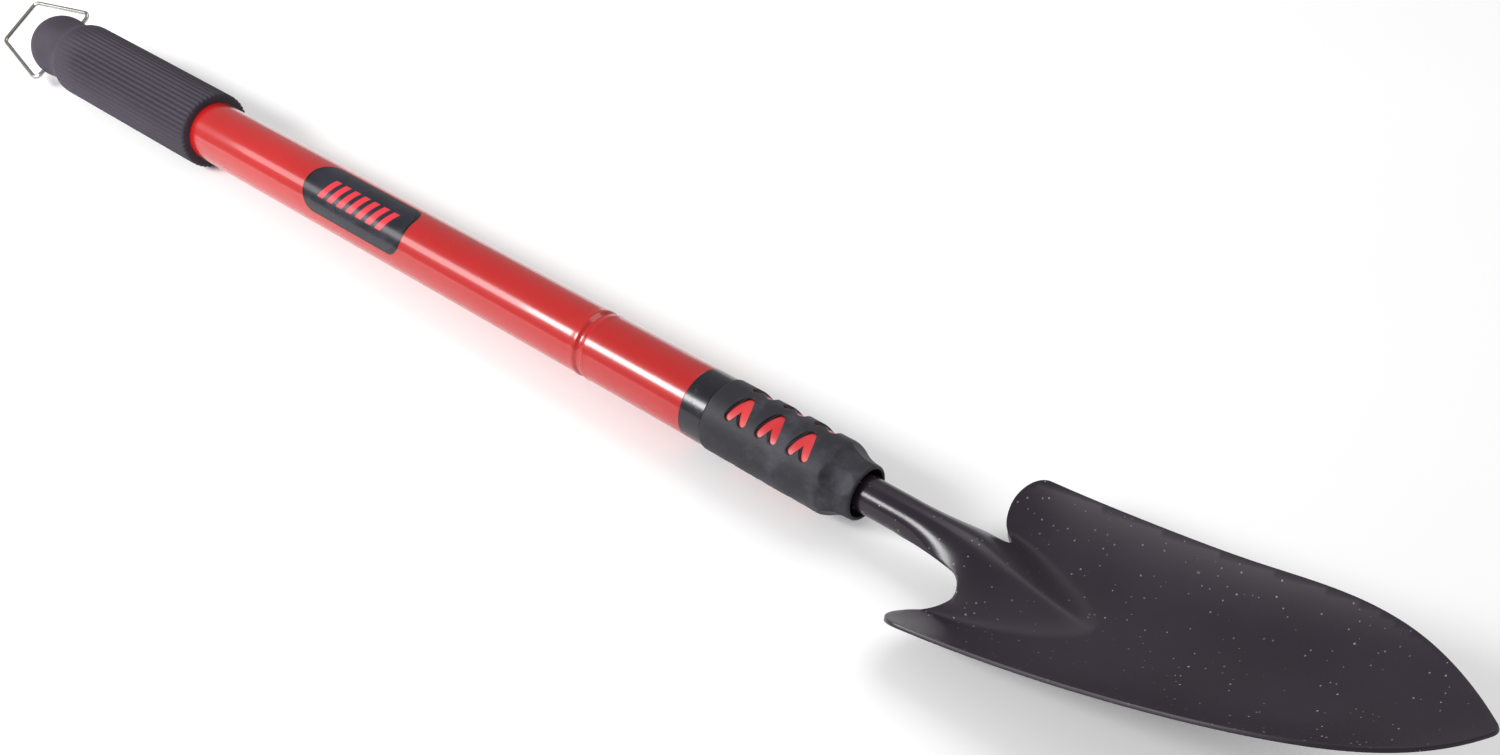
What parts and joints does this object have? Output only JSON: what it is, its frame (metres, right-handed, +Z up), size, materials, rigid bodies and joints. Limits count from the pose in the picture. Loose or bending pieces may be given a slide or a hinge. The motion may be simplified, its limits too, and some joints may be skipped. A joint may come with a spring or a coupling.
{
  "type": "telescopic digging trowel",
  "caption": "Hand-held digging trowel with a dished pointed steel blade, a twist-locked telescopic shaft, a ribbed rubber grip and a swinging wire hanging bail.",
  "frame": {"origin": "middle of the bottom of the bounding box, on the surface the tool lies on", "axes": "+X along the shaft from the grip to the blade, +Z up towards the blade's hollow side, +Y across the blade"},
  "size_m": [0.6886, 0.0792, 0.0541],
  "materials": {
    "red_enamel": "gloss",
    "powder_coat": "satin",
    "grip_rubber": "matte",
    "sleeve_rubber": "matte",
    "red_plastic": "gloss",
    "black_plastic": "gloss",
    "nylon": "matte",
    "label_film": "gloss",
    "bright_wire": "polished"
  },
  "bodies": {
    "handle": {"outer_tube": "red_enamel", "grip": "grip_rubber", "end_plug": "black_plastic", "label": "label_film", "lock_body": "black_plastic", "clamp_collet": "nylon"},
    "bail": {"bail": "bright_wire"},
    "lock_washer": {"thrust_washer": "nylon"},
    "twist_sleeve": {"sleeve_core": "red_plastic", "sleeve_grip": "sleeve_rubber", "wiper_seal": "sleeve_rubber"},
    "slider": {"drag_ring": "nylon"},
    "head": {"inner_tube": "powder_coat", "guide_bush": "nylon", "guide_pin": "bright_wire", "head_bush": "black_plastic", "head_pin": "bright_wire", "blade": "powder_coat"}
  },
  "joints": [
    {"name": "extend_slide", "type": "slide", "parent": "handle", "child": "slider", "axis": [1, 0, 0], "range_m": [0, 0.27]},
    {"name": "head_turn", "type": "hinge", "parent": "slider", "child": "head", "pos_m": [0, 0, 0.0161], "axis": [1, 0, 0], "continuous": true},
    {"name": "lock_advance", "type": "slide", "parent": "handle", "child": "lock_washer", "axis": [1, 0, 0], "range_m": [0, 0.002]},
    {"name": "lock_twist", "type": "hinge", "parent": "lock_washer", "child": "twist_sleeve", "pos_m": [0, 0, 0.0161], "axis": [1, 0, 0], "range_deg": [0, 180]},
    {"name": "bail_swing", "type": "hinge", "parent": "handle", "child": "bail", "pos_m": [-0.31106, 0, 0.0161], "axis": [0, 0.8695, 0.4939], "range_deg": [-144, 135]}
  ],
  "couplings": [
    {"joint": "lock_advance", "follows": "lock_twist", "m_per_rad": 0.00063662}
  ]
}
